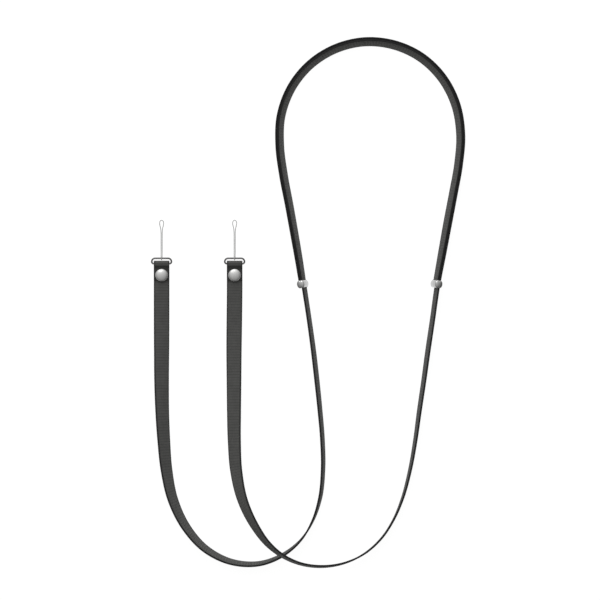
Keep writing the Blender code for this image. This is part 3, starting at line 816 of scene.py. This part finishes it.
class STRAP_OT_cords(bpy.types.Operator):
    """Makes the thin braided cord loop on each ring"""

    bl_idname = "strap.cords"
    bl_label = "Cord loops"

    def execute(self, context):
        material = cord_material()
        for side in SIDES:
            self.make_cord(side, material)
        return {"FINISHED"}

    def make_cord(self, side, material):
        cord = settings("cord")
        low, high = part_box("ring_" + side)
        bar = (low + high) / 2
        bar.y = high.y - settings("fittings").ring_wire / 2
        path = [bar + point for point in self.smooth_points(cord.points)]
        curve = bpy.data.curves.new("cord_loop_" + side, "CURVE")
        curve.dimensions = "3D"
        curve.bevel_depth = cord.diameter / 2
        curve.bevel_resolution = 4
        curve.use_fill_caps = True
        spline = curve.splines.new("POLY")
        spline.points.add(len(path) - 1)
        for spot, point in zip(spline.points, path):
            spot.co = (*point, 1)
        obj = bpy.data.objects.new("cord_loop_" + side, curve)
        bpy.context.collection.objects.link(obj)
        make_active(obj)
        bpy.ops.object.convert(target="MESH")
        obj = rename(bpy.context.object, "cord_loop_" + side)
        self.mark_braid(obj, path, cord.diameter)
        bpy.ops.object.shade_smooth()
        finish_piece(obj, material, "grey_cord", "tether_" + side)

    def smooth_points(self, count):
        """Evenly spread points of a smooth curve through the route's own points."""
        points = [Vector(point) for point in CORD_ROUTE]
        spans = [(b - a).length for a, b in zip(points, points[1:])]
        slopes = slopes_of(points, spans)
        smooth = []
        for step in range(count):
            distance = sum(spans) * step / (count - 1)
            index = 0
            while index < len(spans) - 1 and distance > spans[index]:
                distance -= spans[index]
                index += 1
            share = min(1, distance / spans[index])
            smooth.append(ease(points[index], points[index + 1], slopes[index], slopes[index + 1],
                               spans[index], share))
        return smooth

    def mark_braid(self, obj, path, diameter):
        """Stores each point's distance along the cord and its way round it, for the braid."""
        line = np.array(path)
        steps = np.linalg.norm(np.diff(line, axis=0), axis=1)
        distance = np.concatenate([[0.0], np.cumsum(steps)])
        mesh = obj.data
        spots = np.empty(len(mesh.vertices) * 3)
        mesh.vertices.foreach_get("co", spots)
        spots = spots.reshape(-1, 3)
        values = np.zeros_like(spots)
        for index, spot in enumerate(spots):
            nearest = int(np.argmin(((line - spot) ** 2).sum(1)))
            onward = Vector(line[min(nearest + 1, len(line) - 1)] - line[max(nearest - 1, 0)]).normalized()
            side = onward.cross(UP).normalized()
            out = Vector(spot - line[nearest])
            turn = math.atan2(out.dot(side.cross(onward)), out.dot(side))
            values[index] = (distance[nearest], abs(turn) * diameter / 2, 0)
        attribute = mesh.attributes.new("braid", "FLOAT_VECTOR", "POINT")
        attribute.data.foreach_set("vector", values.ravel())


class STRAP_OT_webbing(bpy.types.Operator):
    """Weaves both webbing halves straight and ribbed, and lays them along their routes"""

    bl_idname = "strap.webbing"
    bl_label = "Webbing"

    def execute(self, context):
        layout = Layout()
        material = webbing_material()
        inner_loop = loop_rows(layout, DOUBLED_LOOP, 1)
        outer_loop = list(reversed(loop_rows(layout, DOUBLED_LOOP, -1)))
        for name, side, leg, loop, rising_edge in (
                ("inner", "left", LEFT_LEG, inner_loop, 1),
                ("outer", "right", RIGHT_LEG, outer_loop, -1)):
            route = webbing_route(layout, side, leg, loop, rising_edge)
            tape = self.weave(float(route.distance[-1]))
            self.punch(tape, route, side, layout)
            self.lay(tape, route)
            make_active(tape)
            bpy.ops.object.shade_smooth()
            rename(tape, "webbing_" + name)
            finish_piece(tape, material, "charcoal_webbing", "strap_" + name)
        return {"FINISHED"}

    def weave(self, length):
        """A straight length of webbing along X: a cell of two ribs, repeated and closed at its ends."""
        webbing = settings("webbing")
        cells = round(length / (2 * webbing.rib_pitch))
        cell = length / cells
        deselect_all()
        bpy.ops.mesh.primitive_cube_add(size=1, location=(cell / 2, 0, 0),
                                        scale=(cell, webbing.width, webbing.thickness))
        tape = bpy.context.object
        bpy.ops.object.transform_apply(location=True, rotation=True, scale=True)
        bpy.ops.object.mode_set(mode="EDIT")
        choose(tape, "faces", lambda middle: min(middle.x, cell - middle.x) < cell / 10)
        bpy.ops.mesh.delete(type="FACE")
        choose(tape, "edges", lambda middle: abs(middle.y) > webbing.width / 2.1
               and abs(middle.z) > webbing.thickness / 2.1 and cell / 4 < middle.x < 3 * cell / 4)
        bpy.ops.mesh.bevel(offset=webbing.edge_round, segments=3)
        inner = webbing.width / 2 - webbing.border
        groove = (inner - GROOVE_HALF, inner, inner + GROOVE_HALF)
        for line in (*(-place for place in reversed(groove)), 0, *groove):
            self.slice(line, (0, 1, 0))
        for hundredth in VALLEYS:
            if 0 < hundredth < 100:
                self.slice(cell * hundredth / 100, (1, 0, 0))
        self.raise_ribs(tape, cell)
        bpy.ops.object.mode_set(mode="OBJECT")
        array = tape.modifiers.new("ribs", "ARRAY")
        array.count = cells
        array.use_relative_offset = False
        array.use_constant_offset = True
        array.constant_offset_displace = (cell, 0, 0)
        array.use_merge_vertices = True
        array.merge_threshold = 0.00001
        apply_modifier(tape, array)
        bpy.ops.object.mode_set(mode="EDIT")
        bpy.ops.mesh.select_all(action="SELECT")
        bpy.ops.mesh.fill_holes(sides=0)
        bpy.ops.object.mode_set(mode="OBJECT")
        return tape

    def slice(self, distance, way):
        """Cuts a line of edges right round the webbing, square to one axis."""
        bpy.ops.mesh.select_all(action="SELECT")
        bpy.ops.mesh.bisect(plane_co=Vector(way) * distance, plane_no=way)

    def raise_ribs(self, tape, cell):
        """Sinks the valleys between the ribs, the grooves beside the borders and the edge's notches."""
        webbing = settings("webbing")
        inner = webbing.width / 2 - webbing.border
        bm = bmesh.from_edit_mesh(tape.data)
        for vert in bm.verts:
            sunk = VALLEYS[round(100 * vert.co.x / cell)]
            up = 1 if vert.co.z > 0 else -1
            flat = abs(vert.co.z) > webbing.thickness / 2.001
            if flat and abs(vert.co.y) < inner - GROOVE_HALF / 2:
                vert.co.z -= up * webbing.rib_depth * sunk
            elif flat and abs(abs(vert.co.y) - inner) < GROOVE_HALF / 4:
                vert.co.z -= up * webbing.groove
            elif not flat:
                vert.co.y -= math.copysign(webbing.rib_depth * sunk / 2, vert.co.y)
        bmesh.update_edit_mesh(tape.data)

    def lay(self, tape, route):
        """Moves the straight webbing onto its route and keeps each point's straight place."""
        mesh = tape.data
        straight = np.empty(len(mesh.vertices) * 3)
        mesh.vertices.foreach_get("co", straight)
        straight = straight.reshape(-1, 3)
        attribute = mesh.attributes.new("straight", "FLOAT_VECTOR", "POINT")
        attribute.data.foreach_set("vector", straight.ravel())

        def at(values):
            return np.stack([np.interp(straight[:, 0], route.distance, row) for row in values.T], 1)

        widths, faces = at(route.width), at(route.face)
        widths /= np.linalg.norm(widths, axis=1, keepdims=True)
        faces /= np.linalg.norm(faces, axis=1, keepdims=True)
        laid = at(route.middle) - widths * straight[:, 1:2] + faces * straight[:, 2:3]
        mesh.vertices.foreach_set("co", laid.ravel())
        mesh.update()

    def punch(self, tape, route, side, layout):
        """Opens the straight webbing where the snap's post will go through it, in the flap and below."""
        past_snap = route.middle[:, 1] > snap_middle(side).y
        for index in np.nonzero(np.diff(past_snap))[0][:2]:
            near, far = (abs(route.middle[spot, 1] - snap_middle(side).y) for spot in (index, index + 1))
            step = route.distance[index + 1] - route.distance[index]
            distance = route.distance[index] + step * near / (near + far)
            deselect_all()
            bpy.ops.mesh.primitive_cylinder_add(
                vertices=32, radius=settings("fittings").snap_post / 2 + layout.gap,
                depth=3 * layout.thickness, location=(distance, 0, 0))
            cutter = bpy.context.object
            deselect_all()
            cut_with(tape, cutter)


class STRAP_OT_rings(bpy.types.Operator):
    """Bends the two wire rings with wide upper corners and tight lower ones"""

    bl_idname = "strap.rings"
    bl_label = "Rings"

    def execute(self, context):
        for side in SIDES:
            ring = self.bend_ring(side)
            finish_piece(ring, steel("dark polished steel"), "polished_steel", "ring_" + side)
        return {"FINISHED"}

    def bend_ring(self, side):
        fittings = settings("fittings")
        low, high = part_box("ring_" + side)
        wire = fittings.ring_wire
        size = Vector((high.x - low.x - wire, high.y - low.y - wire, 1))
        middle = (low + high) / 2
        low_radius = fittings.ring_side_play + wire / 2
        top_radius = size.y - low_radius
        deselect_all()
        bpy.ops.mesh.primitive_plane_add(size=1, location=middle)
        ring = bpy.context.object
        ring.scale = size
        bpy.ops.object.transform_apply(location=True, rotation=True, scale=True)
        bpy.ops.object.mode_set(mode="EDIT")
        for lower, radius in ((False, top_radius), (True, low_radius)):
            edge = middle.y - size.y / 2.001 if lower else middle.y + size.y / 2.001
            choose(ring, "verts", lambda spot: spot.y < edge if lower else spot.y > edge)
            bpy.ops.mesh.bevel(offset=radius * 0.999, segments=14, affect="VERTICES")
        bpy.ops.mesh.select_all(action="SELECT")
        bpy.ops.mesh.delete(type="ONLY_FACE")
        bpy.ops.mesh.select_all(action="SELECT")
        bpy.ops.mesh.remove_doubles(threshold=0.00004)
        bpy.ops.object.mode_set(mode="OBJECT")
        bpy.ops.object.convert(target="CURVE")
        ring = bpy.context.object
        ring.data.bevel_depth = wire / 2
        ring.data.bevel_resolution = 6
        bpy.ops.object.convert(target="MESH")
        ring = rename(bpy.context.object, "wire_ring_" + side)
        bpy.ops.object.shade_smooth()
        return ring


class STRAP_OT_snaps(bpy.types.Operator):
    """Turns the two snaps: a satin dome, a post through the webbing and a back disc"""

    bl_idname = "strap.snaps"
    bl_label = "Snaps"

    def execute(self, context):
        layout = Layout()
        for side in SIDES:
            finish_piece(self.turn_snap(side, layout), steel("satin steel"), "satin_steel", "snap_" + side)
        return {"FINISHED"}

    def turn_snap(self, side, layout):
        fittings = settings("fittings")
        low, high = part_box("snap_" + side)
        axis = (low + high) / 2
        dome = (high.x - low.x) / 2
        seat = layout.flap_height + layout.thickness / 2 + layout.gap
        shoulder = seat + fittings.snap_rim
        back = fittings.snap_back_diameter / 2
        plate = fittings.snap_back_thickness
        post = fittings.snap_post / 2
        lip = fittings.snap_rim / 2
        profile = [(0, 0), (back - lip, 0)]
        profile += self.arc(back - lip, lip, lip, lip, -90, 0, 4)
        profile += self.arc(back - lip, plate - lip, lip, lip, 0, 90, 4)
        profile += [(post + lip, plate), (post, plate + lip), (post, seat - lip), (post + lip, seat)]
        profile += self.arc(dome - lip, seat + lip, lip, lip, -90, 0, 5)
        profile += self.arc(0, shoulder, dome, high.z - shoulder, 0, 90, 22)
        mesh = bpy.data.meshes.new("snap")
        points = [(axis.x + radius, axis.y, height) for radius, height in profile]
        mesh.from_pydata(points, [(index, index + 1) for index in range(len(points) - 1)], [])
        snap = bpy.data.objects.new("snap", mesh)
        bpy.context.collection.objects.link(snap)
        make_active(snap)
        bpy.ops.object.mode_set(mode="EDIT")
        bpy.ops.mesh.select_all(action="SELECT")
        bpy.ops.mesh.spin(steps=72, angle=2 * math.pi, center=(axis.x, axis.y, 0), axis=(0, 0, 1))
        bpy.ops.mesh.select_all(action="SELECT")
        bpy.ops.mesh.remove_doubles(threshold=0.000005)
        bpy.ops.mesh.normals_make_consistent(inside=False)
        bpy.ops.object.mode_set(mode="OBJECT")
        rename(snap, "dome_snap_" + side)
        bpy.ops.object.shade_smooth_by_angle(angle=math.radians(40))
        return snap

    def arc(self, radius, height, wide, tall, start, end, steps):
        """Points of an upright arc about a point at a radius and height, from one angle to another."""
        points = []
        for step in range(steps + 1):
            turn = math.radians(start + (end - start) * step / steps)
            points.append((radius + wide * math.cos(turn), height + tall * math.sin(turn)))
        return points


class STRAP_OT_sliders(bpy.types.Operator):
    """Makes the two polished sliders with their slots and pockets"""

    bl_idname = "strap.sliders"
    bl_label = "Sliders"

    def execute(self, context):
        layout = Layout()
        for side, row, neighbour, before, pocket_side in (
                ("left", DOUBLED_LOOP[0], DOUBLED_LOOP[1], LEFT_LEG[-1], 1),
                ("right", DOUBLED_LOOP[-1], DOUBLED_LOOP[-2], RIGHT_LEG[-1], -1)):
            onward = (layout.point(neighbour) - layout.point(before)).normalized().to_3d()
            slider = self.make_slider(layout, row, onward, pocket_side)
            rename(slider, "steel_slider_" + side)
            finish_piece(slider, steel("polished steel"), "polished_steel", "slider_" + side)
        return {"FINISHED"}

    def make_slider(self, layout, row, onward, pocket_side):
        """A two-lobed body, bored in its own place and then stood on the webbing.

        pocket_side is +1 where the pocket lies on the loop's outer side and -1 on the inner side.
        """
        fittings = settings("fittings")
        middle = (layout.point(DOUBLED_LOOP[0]) + layout.point(DOUBLED_LOOP[-1])) / 2
        outward = onward.cross(UP)
        if outward.dot((layout.point(row) - middle).to_3d()) < 0:
            outward = -outward
        slider = self.lobed_body(layout)
        lean_out = math.radians(row.lean - 90)
        across_axis = outward * math.cos(lean_out) - UP * math.sin(lean_out)
        up_axis = outward * math.sin(lean_out) + UP * math.cos(lean_out)
        axes = Matrix((across_axis, up_axis.cross(across_axis), up_axis)).transposed().to_4x4()
        toward_loop = 1 if axes.col[1].to_3d().dot(onward) > 0 else -1
        slot_half = layout.thickness / 2 + layout.gap
        slot_tall = layout.width / 2 + layout.gap
        past = fittings.slider_length
        passing = -pocket_side * layout.pitch / 2
        self.bore(slider, (passing - slot_half, -past, -slot_tall), (passing + slot_half, past, slot_tall))
        pocket = layout.pitch / 2 + slot_half
        ends = sorted((-toward_loop * layout.pocket_reach, toward_loop * past))
        self.bore(slider, (-pocket, ends[0], -slot_tall), (pocket, ends[1], slot_tall))
        point = layout.point(row)
        height = layout.half_height(row.lean) + layout.lift(row) + layout.pitch / 2 * math.sin(lean_out)
        slider.data.transform(Matrix.Translation((point.x, point.y, height)) @ axes)
        make_active(slider)
        bpy.ops.object.shade_smooth_by_angle(angle=math.radians(35))
        return slider

    def lobed_body(self, layout):
        """Two round lobes side by side, drawn up along Z, with domed ends."""
        fittings = settings("fittings")
        reach = layout.slider_depth / 2
        lobe = (layout.slider_depth - layout.pitch) / 2
        upright = layout.slider_height / 2 - fittings.slider_crown
        deselect_all()
        bpy.ops.mesh.primitive_circle_add(
            vertices=128, radius=1, fill_type="NGON", location=(0, 0, -upright))
        body = bpy.context.object
        bpy.ops.object.transform_apply(location=True, rotation=True, scale=True)
        for vert in body.data.vertices:
            across = reach * vert.co.x
            from_lobe = min(1, abs(abs(across) - layout.pitch / 2) / lobe)
            along = fittings.slider_length / 2 * math.sqrt(1 - from_lobe ** 2)
            vert.co.x, vert.co.y = across, math.copysign(along, vert.co.y)
        bpy.ops.object.mode_set(mode="EDIT")
        bpy.ops.mesh.select_all(action="SELECT")
        bpy.ops.mesh.remove_doubles(threshold=0.00001)
        bpy.ops.mesh.extrude_region_move(TRANSFORM_OT_translate={"value": (0, 0, 2 * upright)})
        bpy.ops.mesh.select_all(action="SELECT")
        bpy.ops.mesh.normals_make_consistent(inside=False)
        for end in (-1, 1):
            choose(body, "faces", lambda middle: end * middle.z > upright * 0.999)
            self.dome(end)
        bpy.ops.object.mode_set(mode="OBJECT")
        return body

    def dome(self, end):
        """Draws the selected end face up and in, ring by ring, along a quarter of an ellipse."""
        crown, steps = settings("fittings").slider_crown, settings("fittings").crown_steps
        last_turn = math.pi / 2 * steps / (steps + 1)
        turns = [last_turn * step / steps for step in range(steps + 1)]
        for before, after in zip(turns, turns[1:]):
            rise = crown * (math.sin(after) - math.sin(before)) / math.sin(last_turn)
            shrink = math.cos(after) / math.cos(before)
            bpy.ops.mesh.extrude_region_move(TRANSFORM_OT_translate={"value": (0, 0, end * rise)})
            bpy.ops.transform.resize(value=(shrink, shrink, 1), center_override=(0, 0, 0))

    def bore(self, slider, low, high):
        low, high = Vector(low), Vector(high)
        deselect_all()
        bpy.ops.mesh.primitive_cube_add(size=1, location=(low + high) / 2, scale=high - low)
        cutter = bpy.context.object
        deselect_all()
        cut_with(slider, cutter)


class STRAP_PT_pieces(bpy.types.Panel):
    """Lists the operators and the settings of the strap"""

    bl_idname = "STRAP_PT_pieces"
    bl_label = "Crossbody strap"
    bl_space_type = "VIEW_3D"
    bl_region_type = "UI"
    bl_category = "Strap"

    def draw(self, context):
        layout = self.layout
        for group_name, group_class in GROUPS.items():
            box = layout.box()
            box.label(text=group_name.capitalize())
            for name in group_class.__annotations__:
                box.prop(settings(group_name), name)
        for operator in OPERATORS:
            layout.operator(operator.bl_idname)


GROUPS = {
    "webbing": STRAP_PG_webbing,
    "fittings": STRAP_PG_fittings,
    "cord": STRAP_PG_cord,
    "stage": STRAP_PG_stage,
}
OPERATORS = (STRAP_OT_stage, STRAP_OT_cords, STRAP_OT_webbing,
             STRAP_OT_rings, STRAP_OT_snaps, STRAP_OT_sliders)


def register():
    for group_name, group_class in GROUPS.items():
        bpy.utils.register_class(group_class)
        setattr(bpy.types.Scene, "strap_" + group_name, PointerProperty(type=group_class))
    for operator in OPERATORS:
        bpy.utils.register_class(operator)
    bpy.utils.register_class(STRAP_PT_pieces)


def unregister():
    bpy.utils.unregister_class(STRAP_PT_pieces)
    for operator in reversed(OPERATORS):
        bpy.utils.unregister_class(operator)
    for group_name, group_class in GROUPS.items():
        delattr(bpy.types.Scene, "strap_" + group_name)
        bpy.utils.unregister_class(group_class)


def main():
    register()
    bpy.ops.strap.stage()
    bpy.ops.strap.cords()
    bpy.ops.strap.webbing()
    bpy.ops.strap.rings()
    bpy.ops.strap.snaps()
    bpy.ops.strap.sliders()


if __name__ == "__main__":
    main()
